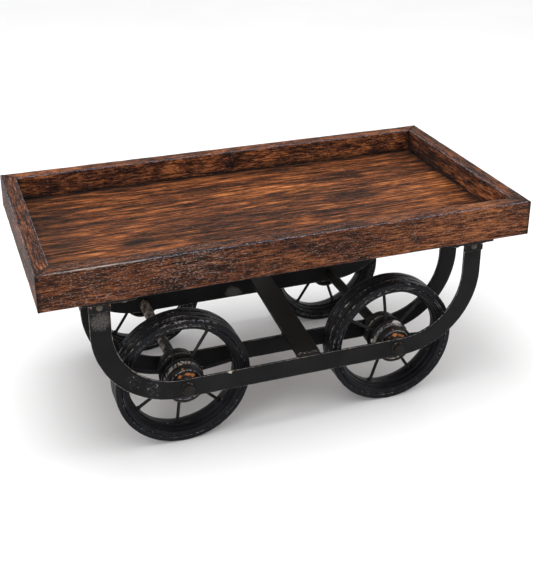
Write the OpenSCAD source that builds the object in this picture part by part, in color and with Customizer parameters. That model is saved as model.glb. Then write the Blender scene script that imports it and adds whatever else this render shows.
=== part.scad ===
// Small flat-bed hand cart: a shallow timber tray on four bent flat-bar straps,
// two through axles and four spoked iron wheels, each running between a pair of straps.
// Millimetres, +Z up, X along the tray, origin on the ground under the middle of the tray.

/* [Tray] */
// Outside length of the tray
tray_length = 610; // [604:2:760]
// Outside width of the tray
tray_width = 312; // [256:2:400]
// Height of the four side rails
rail_height = 46; // [34:1:60]
// Thickness of the side rails
rail_thickness = 19; // [16:1:26]
// Thickness of the floor boards
floor_thickness = 15; // [13:1:20]
// Gap left between one board and the next, and between the floor and the rails
board_gap = 0.3; // [0.1:0.1:1]

/* [Straps] */
// Width of the flat bar that the straps are bent from
strap_width = 25; // [22:1:32]
// Thickness of the flat bar
strap_thickness = 3; // [2:0.5:5]
// Outside radius of the two lower bends
strap_bend_radius = 105; // [70:1:118]
// Drop from the underside of the tray to the lower edge of the straps
strap_drop = 151; // [140:1:190]
// Distance from the end of the tray to the strap
strap_end_inset = 56; // [40:1:70]
// Distance from the side of the tray to the face of the outer strap
strap_side_inset = 14; // [10:1:26]

/* [Cross bar] */
// Width of the bar that ties the four straps together
cross_bar_width = 30; // [16:1:34]
// Thickness of the cross bar
cross_bar_thickness = 6; // [3:1:8]
// How far the near end of the cross bar lies from the middle of the cart
cross_bar_near_x = 16; // [-20:1:16]
// How far the cross bar runs out of square over the width of the frame
cross_bar_skew = 16; // [-16:1:16]

/* [Axles and wheels] */
// Diameter of the axle rods
axle_diameter = 14; // [10:1:16]
// How far the axle stands out past the outer strap
axle_stub = 7; // [4:1:10]
// Distance from the start of the strap's bend to the axle
axle_from_bend = 6; // [0:1:20]
// Outside diameter of the wheels
wheel_diameter = 168; // [140:2:172]
// Width of the rim
rim_width = 34; // [30:1:40]
// Radial depth of the rim, from the tread to the inner rib
rim_depth = 18.5; // [15:0.5:24]
// Width of each of the two grooves in the tread
tread_groove_width = 2.6; // [1.5:0.1:4]
// Depth of the tread grooves
tread_groove_depth = 1.3; // [0.5:0.1:2]
// Number of spokes
spoke_count = 7; // [6:1:8]
// Diameter of the spokes
spoke_diameter = 4; // [3:0.5:5]
// Length of the hub along the axle
hub_length = 52; // [48:1:64]
// Diameter of the hub barrel
barrel_diameter = 40; // [36:1:44]
// Diameter of the two flanges that hold the spokes between them
flange_diameter = 53; // [50:1:60]
// Diameter of the collars on the ends of the hub
collar_diameter = 49; // [48:1:52]
// Thickness of the washers between the hubs and the straps
washer_thickness = 1.5; // [1:0.5:3]
// Diameter of those washers
washer_diameter = 24; // [20:1:26]

/* [Fixings] */
// Thickness of the plates under the tray
plate_thickness = 3; // [2:0.5:4]
// Thickness of the angle cleats
cleat_thickness = 2; // [1.5:0.5:3]
// Length of the cleat's leg on the strap
cleat_drop = 14; // [12:1:20]
// Length of the cleat's leg on the plate
cleat_reach = 8; // [6:1:10]
// Diameter of the rivet shanks
rivet_diameter = 4; // [3:0.5:5]
// Diameter of the wood screws
screw_diameter = 4; // [3:0.5:5]
// Depth that the screws go into the timber
screw_depth = 10; // [8:1:12]

/* [Clearances] */
// Radial running clearance of the hubs on the axles
hub_clearance = 0.05; // [0.01:0.01:0.1]
// Radial clearance of the axles in the strap holes
strap_hole_clearance = 0.15; // [0.1:0.05:0.3]
// Radial clearance round rivets, screws and washers
fixing_clearance = 0.1; // [0.1:0.05:0.3]
// Free play at each end of the hub
hub_end_play = 0.5; // [0.3:0.1:1]
// Gap left for the weld where a round piece meets a curved face
weld_gap = 0.2; // [0.1:0.1:0.3]

/* [Hidden] */
$fn = 96;

wood = [0.36, 0.18, 0.1];
iron = [0.14, 0.14, 0.15];
bare = [0.45, 0.38, 0.33];

// Sides of the cart: near is -Y and left is -X
near = -1;
far = 1;
left = -1;
right = 1;

// Heights, from the ground up
wheel_radius = wheel_diameter / 2;
axle_z = wheel_radius;
strap_low_z = axle_z - strap_width / 2;
tray_z = strap_low_z + strap_drop;
plate_z = tray_z - plate_thickness;
bar_top_z = strap_low_z + strap_width;

// Places across the cart
outer_face_y = tray_width / 2 - strap_side_inset;
wheel_bay = hub_length + 2 * (washer_thickness + hub_end_play);
bay_outer_y = outer_face_y - strap_thickness;
bay_inner_y = bay_outer_y - wheel_bay;
inner_face_y = bay_inner_y - strap_thickness;
wheel_y = (bay_outer_y + bay_inner_y) / 2;

// Places along the cart
strap_half = tray_length / 2 - strap_end_inset;
axle_x = strap_half - strap_bend_radius - axle_from_bend;

// Plates under the tray, reaching past the strap and in towards the screws
plate_past_strap = 9;
plate_length = 62;
plate_out_x = strap_half + plate_past_strap;
plate_edge_margin = 3;
plate_outer_y = tray_width / 2 - plate_edge_margin;
plate_inner_y = inner_face_y - cleat_reach;
screw_from_strap = 15;
screw_x = strap_half - strap_width - screw_from_strap;
rail_screw_y = (tray_width - rail_thickness) / 2;
floor_screw_from_strap = 21;
floor_screw_y = bay_inner_y + floor_screw_from_strap;
screw_head_diameter = 9;
screw_head_height = 3;
rivet_head_diameter = 8;
rivet_head_height = 2.4;
rivet_tail_height = 1;
rivet_drop = 8;

// Hub lengths, from the middle of the wheel outwards
flange_from_spoke = 2;
flange_thickness = 4.5;
collar_from_flange = 6;
flange_inner = spoke_diameter / 2 + flange_from_spoke;
flange_outer = flange_inner + flange_thickness;
collar_inner = flange_outer + collar_from_flange;
boss_depth = 2;
boss_wall = 6;
collar_rim = 3;

// Tray
module mitred_rail(length, width) {
    t = rail_thickness;
    corners = [[-length / 2, 0], [length / 2, 0], [length / 2 - t, t], [-length / 2 + t, t]];
    color(wood) translate([0, -width / 2, tray_z]) linear_extrude(rail_height) polygon(corners);
}
module screw_holes(x, y) {
    start_below = 1;
    end_gap = 0.2;
    drill = start_below + plate_thickness + screw_depth + end_gap;
    translate([x, y, plate_z - start_below]) cylinder(d = screw_diameter + 2 * fixing_clearance, h = drill);
}
module side_rail(side) {
    difference() {
        rotate([0, 0, side == near ? 0 : 180]) mitred_rail(tray_length, tray_width);
        for (end = [left, right]) screw_holes(end * screw_x, side * rail_screw_y);
    }
}
module rail_near() side_rail(near);
module rail_far() side_rail(far);
module rail_left() rotate([0, 0, -90]) mitred_rail(tray_width, tray_length);
module rail_right() rotate([0, 0, 90]) mitred_rail(tray_width, tray_length);

floor_length = tray_length - 2 * (rail_thickness + board_gap);
floor_width = tray_width - 2 * (rail_thickness + board_gap);
board_pitch = (floor_width + board_gap) / 3;
module floor_board(place) {
    size = [floor_length, board_pitch - board_gap, floor_thickness];
    color(wood) difference() {
        translate([-size.x / 2, place * board_pitch - size.y / 2, tray_z]) cube(size);
        for (end = [left, right]) screw_holes(end * screw_x, place * floor_screw_y);
    }
}
module floor_board_near() floor_board(near);
module floor_board_middle() {
    size = [floor_length, board_pitch - board_gap, floor_thickness];
    color(wood) translate([-size.x / 2, -size.y / 2, tray_z]) cube(size);
}
module floor_board_far() floor_board(far);

// Straps: flat bar bent on edge into a wide U, drilled for the axles and rivets
module u_shape(half, low, radius, top) {
    intersection() {
        union() {
            translate([-half, low + radius]) square([2 * half, top - low - radius]);
            translate([-half + radius, low]) square([2 * (half - radius), radius]);
            for (end = [left, right]) translate([end * (half - radius), low + radius]) circle(radius);
        }
        translate([-half, low]) square([2 * half, top - low]);
    }
}
module strap_outline() {
    open_top = plate_z + 1;
    difference() {
        u_shape(strap_half, strap_low_z, strap_bend_radius, plate_z);
        u_shape(strap_half - strap_width, bar_top_z, strap_bend_radius - strap_width, open_top);
        for (end = [left, right]) {
            translate([end * axle_x, axle_z]) circle(d = axle_diameter + 2 * strap_hole_clearance);
            translate([end * (strap_half - strap_width / 2), plate_z - rivet_drop])
                circle(d = rivet_diameter + 2 * fixing_clearance);
        }
    }
}
module strap(front_y) {
    color(iron) translate([0, front_y + strap_thickness, 0]) rotate([90, 0, 0])
        linear_extrude(strap_thickness) strap_outline();
}
module strap_near_outer() strap(-outer_face_y);
module strap_near_inner() strap(-bay_inner_y);
module strap_far_inner() strap(inner_face_y);
module strap_far_outer() strap(bay_outer_y);

// Cross bar: flat bar lying on the straps' lower runs, its ends flush with the outer straps
module cross_bar() {
    h = cross_bar_width / 2;
    far_x = cross_bar_near_x + cross_bar_skew;
    y = outer_face_y;
    outline = [[cross_bar_near_x - h, -y], [cross_bar_near_x + h, -y], [far_x + h, y], [far_x - h, y]];
    color(iron) translate([0, 0, bar_top_z]) linear_extrude(cross_bar_thickness) polygon(outline);
}

// Axles: plain rods through all four straps
module rod_y(x, z, d, y0, y1) {
    translate([x, y1, z]) rotate([90, 0, 0]) cylinder(d = d, h = y1 - y0);
}
module axle(end) {
    reach = outer_face_y + axle_stub;
    color(iron) rod_y(end * axle_x, axle_z, axle_diameter, -reach, reach);
}
module axle_left() axle(left);
module axle_right() axle(right);

// Washers: one against each strap face, at both ends of each hub
module axle_washers() {
    color(bare) for (end = [left, right], side = [near, far], y = [bay_inner_y, bay_outer_y - washer_thickness]) {
        low = side == far ? y : -y - washer_thickness;
        difference() {
            rod_y(end * axle_x, axle_z, washer_diameter, low, low + washer_thickness);
            rod_y(end * axle_x, axle_z, axle_diameter + 2 * fixing_clearance, low - 1, low + washer_thickness + 1);
        }
    }
}

// Plates: flat plate under the tray, over the tops of one pair of straps
module in_corner(side, end) {
    mirror([end == left ? 1 : 0, 0, 0]) mirror([0, side == near ? 1 : 0, 0]) children();
}
module mount_plate() {
    color(iron) difference() {
        translate([plate_out_x - plate_length, plate_inner_y, plate_z])
            cube([plate_length, plate_outer_y - plate_inner_y, plate_thickness]);
        screw_holes(screw_x, rail_screw_y);
        screw_holes(screw_x, floor_screw_y);
    }
}
module plate_near_left() in_corner(near, left) mount_plate();
module plate_near_right() in_corner(near, right) mount_plate();
module plate_far_left() in_corner(far, left) mount_plate();
module plate_far_right() in_corner(far, right) mount_plate();

// Cleats: small angles between a strap and its plate
module cleat() {
    difference() {
        translate([-strap_width / 2, 0, 0]) union() {
            translate([0, 0, -cleat_drop]) cube([strap_width, cleat_thickness, cleat_drop]);
            translate([0, 0, -cleat_thickness]) cube([strap_width, cleat_reach, cleat_thickness]);
        }
        rod_y(0, -rivet_drop, rivet_diameter + 2 * fixing_clearance, -1, cleat_thickness + 1);
    }
}
module cleat_pair() {
    leg_x = strap_half - strap_width / 2;
    color(iron) {
        translate([leg_x, outer_face_y, plate_z]) cleat();
        translate([leg_x, inner_face_y, plate_z]) mirror([0, 1, 0]) cleat();
    }
}
module cleats_near_left() in_corner(near, left) cleat_pair();
module cleats_near_right() in_corner(near, right) cleat_pair();
module cleats_far_left() in_corner(far, left) cleat_pair();
module cleats_far_right() in_corner(far, right) cleat_pair();

// Rivets: one through each cleat and its strap, domed outside
module rivet() {
    dome_r = (pow(rivet_head_diameter / 2, 2) + pow(rivet_head_height, 2)) / (2 * rivet_head_height);
    grip = strap_thickness + cleat_thickness;
    rod_y(0, 0, rivet_diameter, -grip, 0);
    rod_y(0, 0, rivet_diameter + 2, -grip - rivet_tail_height, -grip);
    intersection() {
        translate([0, rivet_head_height - dome_r, 0]) sphere(dome_r);
        rod_y(0, 0, rivet_head_diameter, 0, rivet_head_height);
    }
}
module cleat_rivets() {
    x = strap_half - strap_width / 2;
    z = plate_z - rivet_drop;
    color(bare) for (side = [near, far], end = [left, right]) in_corner(side, end) {
        translate([x, outer_face_y + cleat_thickness, z]) rivet();
        translate([x, inner_face_y - cleat_thickness, z]) mirror([0, 1, 0]) rivet();
    }
}

// Screws: wood screws through the plates, into a rail and into the floor
module plate_screws() {
    color(bare) for (side = [near, far], end = [left, right], y = [rail_screw_y, floor_screw_y]) {
        translate([end * screw_x, side * y, plate_z - screw_head_height]) {
            cylinder(d1 = screw_head_diameter - 2, d2 = screw_head_diameter, h = 1);
            translate([0, 0, 1]) cylinder(d = screw_head_diameter, h = screw_head_height - 1);
            cylinder(d = screw_diameter, h = screw_head_height + plate_thickness + screw_depth);
        }
    }
}

// Wheels: turned profiles are drawn in the outer half and mirrored about the wheel's middle
module on_axle(side, end) {
    translate([end * axle_x, side * wheel_y, axle_z]) rotate([side * -90, 0, 0]) children();
}
module turned(half_profile) {
    last = len(half_profile) - 1;
    back = [for (i = [last:-1:0]) [half_profile[i][0], -half_profile[i][1]]];
    rotate_extrude() polygon(concat(half_profile, back));
}
module rim() {
    r = wheel_radius;
    w = rim_width / 2;
    g = tread_groove_width;
    groove_at = rim_width / 6;
    rib = r - rim_depth;
    rib_half = spoke_diameter / 2 + 2.5;
    // Each side has an outer band, a bead set back from it, and a cove running down to the rib
    band = r - 8;
    bead = r - 13.5;
    set_back = 0.8;
    cove = 7;
    color(iron) turned([
        [rib, rib_half],
        [rib + 2, rib_half + 2],
        [rib + 2.5, w - cove],
        [bead - 0.5, w - cove + 3],
        [bead, w - 2],
        [bead + 1.5, w - set_back],
        [band - set_back, w - set_back],
        [band, w - 2],
        [band + 1, w],
        [r - 2, w],
        [r - 0.5, w - 0.7],
        [r, w - 2.2],
        [r, groove_at + g / 2],
        [r - tread_groove_depth, groove_at + g / 4],
        [r - tread_groove_depth, groove_at - g / 4],
        [r, groove_at - g / 2]
    ]);
}
module rim_near_left() on_axle(near, left) rim();
module rim_near_right() on_axle(near, right) rim();
module rim_far_left() on_axle(far, left) rim();
module rim_far_right() on_axle(far, right) rim();

module spokes(first) {
    inner = barrel_diameter / 2 + weld_gap;
    outer = wheel_radius - rim_depth - weld_gap;
    color(iron) for (i = [0:spoke_count - 1]) rotate([0, 0, first + i * 360 / spoke_count])
        translate([inner, 0, 0]) rotate([0, 90, 0]) cylinder(d = spoke_diameter, h = outer - inner);
}
// Direction of the first spoke of each wheel, as the wheels happen to stand
module spokes_near_left() on_axle(near, left) spokes(7);
module spokes_near_right() on_axle(near, right) spokes(45);
module spokes_far_left() on_axle(far, left) spokes(20);
module spokes_far_right() on_axle(far, right) spokes(72);

module hub() {
    bore = axle_diameter / 2 + hub_clearance;
    barrel = barrel_diameter / 2;
    flange = flange_diameter / 2;
    end = hub_length / 2;
    color(iron) turned([
        [bore, end],
        [bore + boss_wall - 1, end],
        [bore + boss_wall, end - 0.8],
        [bore + boss_wall, end - boss_depth],
        [barrel - 2, end - boss_depth - 1],
        [barrel, end - boss_depth - 2],
        [barrel, flange_outer],
        [flange - 1, flange_outer],
        [flange, flange_outer - 1],
        [flange, flange_inner + 1],
        [flange - 1, flange_inner],
        [barrel, flange_inner]
    ]);
}
module hub_near_left() on_axle(near, left) hub();
module hub_near_right() on_axle(near, right) hub();
module hub_far_left() on_axle(far, left) hub();
module hub_far_right() on_axle(far, right) hub();

module hub_collar() {
    inside = barrel_diameter / 2 + fixing_clearance;
    outside = collar_diameter / 2;
    top = hub_length / 2 - 1;
    color(iron) rotate_extrude() polygon([
        [inside, collar_inner],
        [outside - 1, collar_inner],
        [outside, collar_inner + 1],
        [outside, top - 1],
        [outside - 1, top],
        [outside - collar_rim, top],
        [inside, top - 2]
    ]);
}
module hub_collars() {
    hub_collar();
    mirror([0, 0, 1]) hub_collar();
}
module hub_collars_near_left() on_axle(near, left) hub_collars();
module hub_collars_near_right() on_axle(near, right) hub_collars();
module hub_collars_far_left() on_axle(far, left) hub_collars();
module hub_collars_far_right() on_axle(far, right) hub_collars();

rail_near();
rail_far();
rail_left();
rail_right();
floor_board_near();
floor_board_middle();
floor_board_far();
strap_near_outer();
strap_near_inner();
strap_far_inner();
strap_far_outer();
cross_bar();
axle_left();
axle_right();
axle_washers();
plate_near_left();
plate_near_right();
plate_far_left();
plate_far_right();
cleats_near_left();
cleats_near_right();
cleats_far_left();
cleats_far_right();
cleat_rivets();
plate_screws();
rim_near_left();
rim_near_right();
rim_far_left();
rim_far_right();
spokes_near_left();
spokes_near_right();
spokes_far_left();
spokes_far_right();
hub_near_left();
hub_near_right();
hub_far_left();
hub_far_right();
hub_collars_near_left();
hub_collars_near_right();
hub_collars_far_left();
hub_collars_far_right();
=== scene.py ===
import math
import random

import bmesh
import bpy
from mathutils import Matrix, Vector, noise


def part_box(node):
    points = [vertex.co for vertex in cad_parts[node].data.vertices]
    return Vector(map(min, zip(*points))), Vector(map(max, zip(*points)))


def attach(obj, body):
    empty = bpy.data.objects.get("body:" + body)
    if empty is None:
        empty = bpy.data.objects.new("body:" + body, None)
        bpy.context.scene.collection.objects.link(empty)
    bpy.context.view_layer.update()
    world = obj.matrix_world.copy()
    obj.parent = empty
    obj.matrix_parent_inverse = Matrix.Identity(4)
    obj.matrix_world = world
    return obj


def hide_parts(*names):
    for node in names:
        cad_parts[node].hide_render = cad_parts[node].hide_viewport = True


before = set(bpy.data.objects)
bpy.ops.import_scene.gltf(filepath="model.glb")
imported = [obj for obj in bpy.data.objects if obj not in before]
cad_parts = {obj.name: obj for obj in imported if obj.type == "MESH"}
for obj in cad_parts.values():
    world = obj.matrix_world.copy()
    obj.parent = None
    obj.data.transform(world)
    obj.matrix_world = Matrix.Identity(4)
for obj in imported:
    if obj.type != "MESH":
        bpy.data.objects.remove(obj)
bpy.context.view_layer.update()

# Studio: a wide pale floor under soft lamps, seen from the front left and a little above.
# The floor is matt and the sky is one even white, so the black iron shows by its edges.
scene = bpy.context.scene
scene.view_settings.view_transform = "Standard"

camera_data = bpy.data.cameras.new("camera")
camera_data.lens = 63.98
camera_data.sensor_width = 36
camera_data.shift_y = -0.1564
camera = bpy.data.objects.new("camera", camera_data)
camera.location = (-0.4057, -1.1565, 0.7668)
camera.rotation_euler = (math.radians(67.17), math.radians(-0.08), math.radians(-19.83))
scene.collection.objects.link(camera)
scene.camera = camera

sky = bpy.data.worlds.new("sky")
sky.use_nodes = True
sky.node_tree.nodes["Background"].inputs["Color"].default_value = (1, 1, 1, 1)
sky.node_tree.nodes["Background"].inputs["Strength"].default_value = 0.95
scene.world = sky

lamps_aim = Vector((0, 0, 0.15))
lamps = (
    ("lamp_over", (-0.35, -0.05, 1.9), 1.2, 20),
    ("lamp_left", (-1.7, -1.2, 1.1), 0.8, 7),
    ("lamp_right", (1.8, -0.6, 1.0), 0.8, 5),
)
for name, place, size, power in lamps:
    lamp_data = bpy.data.lights.new(name, "AREA")
    lamp_data.size = size
    lamp_data.energy = power
    lamp = bpy.data.objects.new(name, lamp_data)
    lamp.location = place
    lamp.rotation_euler = (lamps_aim - lamp.location).to_track_quat("-Z", "Y").to_euler()
    scene.collection.objects.link(lamp)


def feed(tree, socket, value):
    """Links a socket to another one, or sets it to a plain value."""
    if isinstance(value, bpy.types.NodeSocket):
        tree.links.new(value, socket)
    else:
        socket.default_value = value


def put(tree, kind, feeds, **settings):
    """A shader node in the tree, its settings made and its sockets fed."""
    node = tree.nodes.new("ShaderNode" + kind)
    for key, value in settings.items():
        setattr(node, key, value)
    for key, value in feeds.items():
        feed(tree, node.inputs[key], value)
    return node


def ramp(tree, factor, *stops):
    """A colour ramp fed by a factor, from stops of place and colour."""
    node = put(tree, "ValToRGB", {0: factor})
    bar = node.color_ramp.elements
    while len(bar) < len(stops):
        bar.new(0.5)
    for element, (place, colour) in zip(bar, stops):
        element.position = place
        element.color = (*colour, 1)
    return node.outputs["Color"]


def new_material(name):
    """An empty material: its tree and its Principled shader."""
    made = bpy.data.materials.new(name)
    made.use_nodes = True
    return made, made.node_tree, made.node_tree.nodes["Principled BSDF"]


floor_paper, tree, shader = new_material("floor_paper")
object_place = put(tree, "TexCoord", {}).outputs["Object"]
paper = put(tree, "TexNoise", {"Vector": object_place, "Scale": 3.0, "Detail": 2.0}).outputs["Fac"]
tree.links.new(ramp(tree, paper, (0.3, (0.90, 0.90, 0.90)), (0.7, (0.93, 0.93, 0.93))), shader.inputs["Base Color"])
shader.inputs["Roughness"].default_value = 0.9
shader.inputs["Specular IOR Level"].default_value = 0.1

bm = bmesh.new()
bmesh.ops.create_grid(bm, x_segments=1, y_segments=1, size=8)
floor_mesh = bpy.data.meshes.new("studio_floor")
bm.to_mesh(floor_mesh)
bm.free()
floor_mesh.materials.append(floor_paper)
studio_floor = bpy.data.objects.new("studio_floor", floor_mesh)
scene.collection.objects.link(studio_floor)


# Tray rails: four lengths of stained softwood, mitred at the corners and glued up into a
# shallow frame. The faces are wire-brushed, so the grain stands up, and the arrises are worn, with a bluish painted
# highlight along them.
rail_lo, rail_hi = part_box("rail_near")
rail_left_lo, rail_left_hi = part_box("rail_left")
rail_length = rail_hi.x - rail_lo.x
rail_width = rail_hi.y - rail_lo.y
rail_height = rail_hi.z - rail_lo.z
tray_width = rail_left_hi.y - rail_left_lo.y
rail_arris = 0.0019
rail_step = 0.003
on_mitre = 0.0004
# Reaches of the dark mitre joints and of the painted shade, with some grime, where the rails meet the floor.
mitre_grime, floor_joint_grime_and_shade = 0.006, 0.007
brushed_depth, dent_depth = 0.00022, 0.0005
floor_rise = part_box("floor_board_near")[1].z - rail_lo.z
rail_stains = (
    (0.0115, 0.0055, 0.0042), (0.044, 0.0155, 0.0082), (0.128, 0.0385, 0.0145), (0.36, 0.118, 0.037))
near_rail_stains = (
    (0.019, 0.009, 0.0062), (0.058, 0.0200, 0.0102), (0.130, 0.0405, 0.0160), (0.29, 0.100, 0.033))
# The worn rail arrises run from dark to light slate: partly wear, partly a painted bluish highlight.
arris_wear_and_highlight = (0.115, 0.125, 0.155)
pore_black = (0.010, 0.005, 0.004)
brush_dust = (0.36, 0.30, 0.27)
# The dark colour of the shade layer: dark joints and knots, grime, and painted shade in creases and under edges.
grime_and_shade_colour = (0.013, 0.009, 0.008)
# A pale cream painted highlight on part of the near rail's top arris.
pale_arris_highlight = (0.50, 0.40, 0.34)


def maths(tree, operation, *terms, clamp=False):
    return put(tree, "Math", dict(enumerate(terms)), operation=operation, use_clamp=clamp).outputs[0]


def weigh(tree, *parts, plus=None):
    """The sum of sockets, each times its own weight, and of a plain number where one is given."""
    total = None
    for socket, weight in parts:
        term = maths(tree, "MULTIPLY", socket, weight)
        total = term if total is None else maths(tree, "ADD", total, term)
    return total if plus is None else maths(tree, "ADD", total, plus)


def blend(tree, factor, first, second, mode="MIX"):
    """Lays a second colour over the first, as far as the factor says."""
    node = tree.nodes.new("ShaderNodeMix")
    node.data_type = "RGBA"
    node.blend_type = mode
    for place, value in ((0, factor), (6, first), (7, second)):
        feed(tree, node.inputs[place], (*value, 1) if isinstance(value, tuple) else value)
    return node.outputs[2]


def painted(tree, label, output="Fac"):
    """What is painted on the piece's vertices under a label."""
    return put(tree, "Attribute", {}, attribute_name=label).outputs[output]


def put_group(tree, group, feeds):
    """A node group placed in a material, its sockets fed."""
    return put(tree, "Group", feeds, node_tree=group).outputs


def new_group(name, takes, gives):
    """An empty node group that gives out masks and heights: its tree, and the sockets inside it."""
    group = bpy.data.node_groups.new(name, "ShaderNodeTree")
    for label, kind, value in takes:
        socket = group.interface.new_socket(label, in_out="INPUT", socket_type="NodeSocket" + kind)
        if value is not None:
            socket.default_value = value
    for label in gives:
        group.interface.new_socket(label, in_out="OUTPUT", socket_type="NodeSocketFloat")
    inside = group.nodes.new("NodeGroupInput").outputs
    outside = group.nodes.new("NodeGroupOutput").inputs
    return group, inside, outside


def stretched_noise(tree, vector, along, across, detail, distortion, low, high):
    """Noise drawn out along the grain, with its values from low to high spread over 0 to 1."""
    scale = put(tree, "CombineXYZ", {0: along, 1: across, 2: across}).outputs[0]
    place = put(tree, "VectorMath", {0: vector, 1: scale}, operation="MULTIPLY").outputs[0]
    feeds = {"Vector": place, "Scale": 1.0, "Detail": detail, "Roughness": 0.62, "Distortion": distortion}
    factor = put(tree, "TexNoise", feeds).outputs["Fac"]
    return put(tree, "MapRange", {"Value": factor, 1: low, 2: high}).outputs[0]


wood_grain, inside, outside = new_group(
    "wood_grain",
    (("Vector", "Vector", None), ("Along", "Float", 8.0), ("Across", "Float", 110.0)),
    ("Tone", "Fibre", "Speck", "Pit", "Height"),
)
layers = {}
for label, by_along, by_across, detail, distortion, low, high in (
    ("streak", 1.0, 1.0, 4.0, 0.6, 0.35, 0.65), ("ridge", 3.2, 3.2, 2.5, 0.3, 0.34, 0.66),
    ("fibre", 8.0, 6.5, 2.0, 0.0, 0.34, 0.66), ("blotch", 0.7, 0.13, 4.0, 0.3, 0.36, 0.64),
    ("speck", 22.0, 6.0, 1.0, 0.0, 0.30, 0.72),
):
    along = maths(wood_grain, "MULTIPLY", inside["Along"], by_along)
    across = maths(wood_grain, "MULTIPLY", inside["Across"], by_across)
    layers[label] = stretched_noise(wood_grain, inside["Vector"], along, across, detail, distortion, low, high)
streak, ridge, fibre, blotch, speck = layers.values()
for label, socket in (
    ("Tone", weigh(wood_grain, (streak, 0.36), (ridge, 0.40), (blotch, 0.24))),
    ("Fibre", fibre),
    ("Speck", weigh(wood_grain, (speck, 1), (ridge, 0.22))),
    ("Pit", weigh(wood_grain, (speck, 0.5), (ridge, 0.5))),
    ("Height", weigh(wood_grain, (ridge, 0.55), (fibre, 0.3), (speck, 0.25))),
):
    wood_grain.links.new(socket, outside[label])


def stained_wood(name, turned, along, across, stains, speck, edge_wear_and_highlight, shift, rough):
    """Stained, brushed timber with its grain along X, or along Y where turned."""
    made, tree, shader = new_material(name)
    place = put(tree, "TexCoord", {}).outputs["Object"]
    feeds = {"Vector": place, "Location": (0.37, 0.11, 0.05), "Rotation": (0, 0, math.radians(90 if turned else 0))}
    place = put(tree, "Mapping", feeds).outputs[0]
    grain = put_group(tree, wood_grain, {"Vector": place, "Along": along, "Across": across})
    tone = weigh(tree, (grain["Tone"], 1), (painted(tree, "gold"), 0.2), plus=shift)
    colour = ramp(tree, tone, *zip((0.2, 0.42, 0.62, 0.86), stains))
    lift = weigh(tree, (grain["Fibre"], 1), plus=0.5)
    colour = blend(tree, 1.0, colour, put(tree, "CombineXYZ", {0: lift, 1: lift, 2: lift}).outputs[0], "MULTIPLY")
    pits = ramp(tree, grain["Pit"], (0.2, (1, 1, 1)), (0.36, (0, 0, 0)))
    colour = blend(tree, maths(tree, "MULTIPLY", pits, 0.8), colour, pore_black)
    dust = weigh(tree, (grain["Speck"], 1), (painted(tree, "dusty"), 0.22))
    dots = ramp(tree, dust, (0.90, (0, 0, 0)), (1.0, (1, 1, 1)))
    colour = blend(tree, maths(tree, "MULTIPLY", dots, speck), colour, brush_dust)
    # The shade layer darkens towards this colour: joints and knots, and painted shade where parts meet.
    uneven = weigh(tree, (grain["Tone"], -0.7), plus=1.3)
    shade = maths(tree, "MULTIPLY", painted(tree, "shade"), uneven, clamp=True)
    colour = blend(tree, shade, colour, grime_and_shade_colour)
    broken = weigh(tree, (grain["Fibre"], 1.1), plus=0.1)
    worn = maths(tree, "MULTIPLY", painted(tree, "worn"), broken, clamp=True)
    # Worn arrises take a ramp of the edge colour; on the rails its light end is a painted highlight.
    darkest, lightest = [tuple(share * part for part in edge_wear_and_highlight) for share in (0.1, 2.4)]
    colour = blend(tree, worn, colour, ramp(tree, grain["Speck"], (0.35, darkest), (0.85, lightest)))
    # Pale painted highlight on part of the arris.
    colour = blend(tree, painted(tree, "pale"), colour, pale_arris_highlight)
    tree.links.new(colour, shader.inputs["Base Color"])
    tree.links.new(weigh(tree, (grain["Fibre"], -0.16), plus=rough), shader.inputs["Roughness"])
    shader.inputs["Specular IOR Level"].default_value = 0.07
    bump = put(tree, "Bump", {"Strength": 1.0, "Distance": 0.0016, "Height": grain["Height"]})
    tree.links.new(bump.outputs[0], shader.inputs["Normal"])
    return made


def verts_of(geom):
    return [item for item in geom if isinstance(item, bmesh.types.BMVert)]


def fade(distance, reach):
    """1 at no distance, falling evenly to 0 at the reach."""
    return max(0, 1 - distance / reach)


def mark_wear(bm, low=25, high=44):
    """Writes on each vertex how sharp an outer edge it stands on: 0 under low degrees, 1 over high."""
    layer = bm.verts.layers.float.new("worn")
    for vert in bm.verts:
        sharpest = max((edge.calc_face_angle_signed(0) for edge in vert.link_edges), default=0)
        vert[layer] = min(1, max(0, (math.degrees(sharpest) - low) / (high - low)))


def round_edges(bm, offset):
    """Rounds every edge sharper than 50 degrees."""
    edges = [e for e in bm.edges if len(e.link_faces) == 2 and e.calc_face_angle(0) > math.radians(50)]
    bmesh.ops.bevel(
        bm, geom=edges, affect="EDGES", offset=offset, offset_type="OFFSET",
        segments=2, profile=0.5, material=-1, clamp_overlap=True)


def cut_along(bm, axis, longer_than, cuts):
    """Cuts every edge that runs mostly along one axis and is longer than the given length."""
    edges = []
    for edge in bm.edges:
        span = edge.verts[1].co - edge.verts[0].co
        if abs(span[axis]) > longer_than and abs(span[axis]) > 0.6 * span.length:
            edges.append(edge)
    bmesh.ops.subdivide_edges(bm, edges=edges, cuts=cuts, use_grid_fill=True)


def show(bm, name, body, material, nodes=(), smooth=40):
    """Turns a bmesh into a finished piece that rides on a body and stands for CAD nodes."""
    mesh = bpy.data.meshes.new(name)
    bm.to_mesh(mesh)
    bm.free()
    mesh.shade_smooth()
    mesh.set_sharp_from_angle(angle=math.radians(smooth))
    mesh.materials.append(material)
    made = bpy.data.objects.new(name, mesh)
    scene.collection.objects.link(made)
    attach(made, body)
    if nodes:
        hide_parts(*nodes)
    return made


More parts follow.
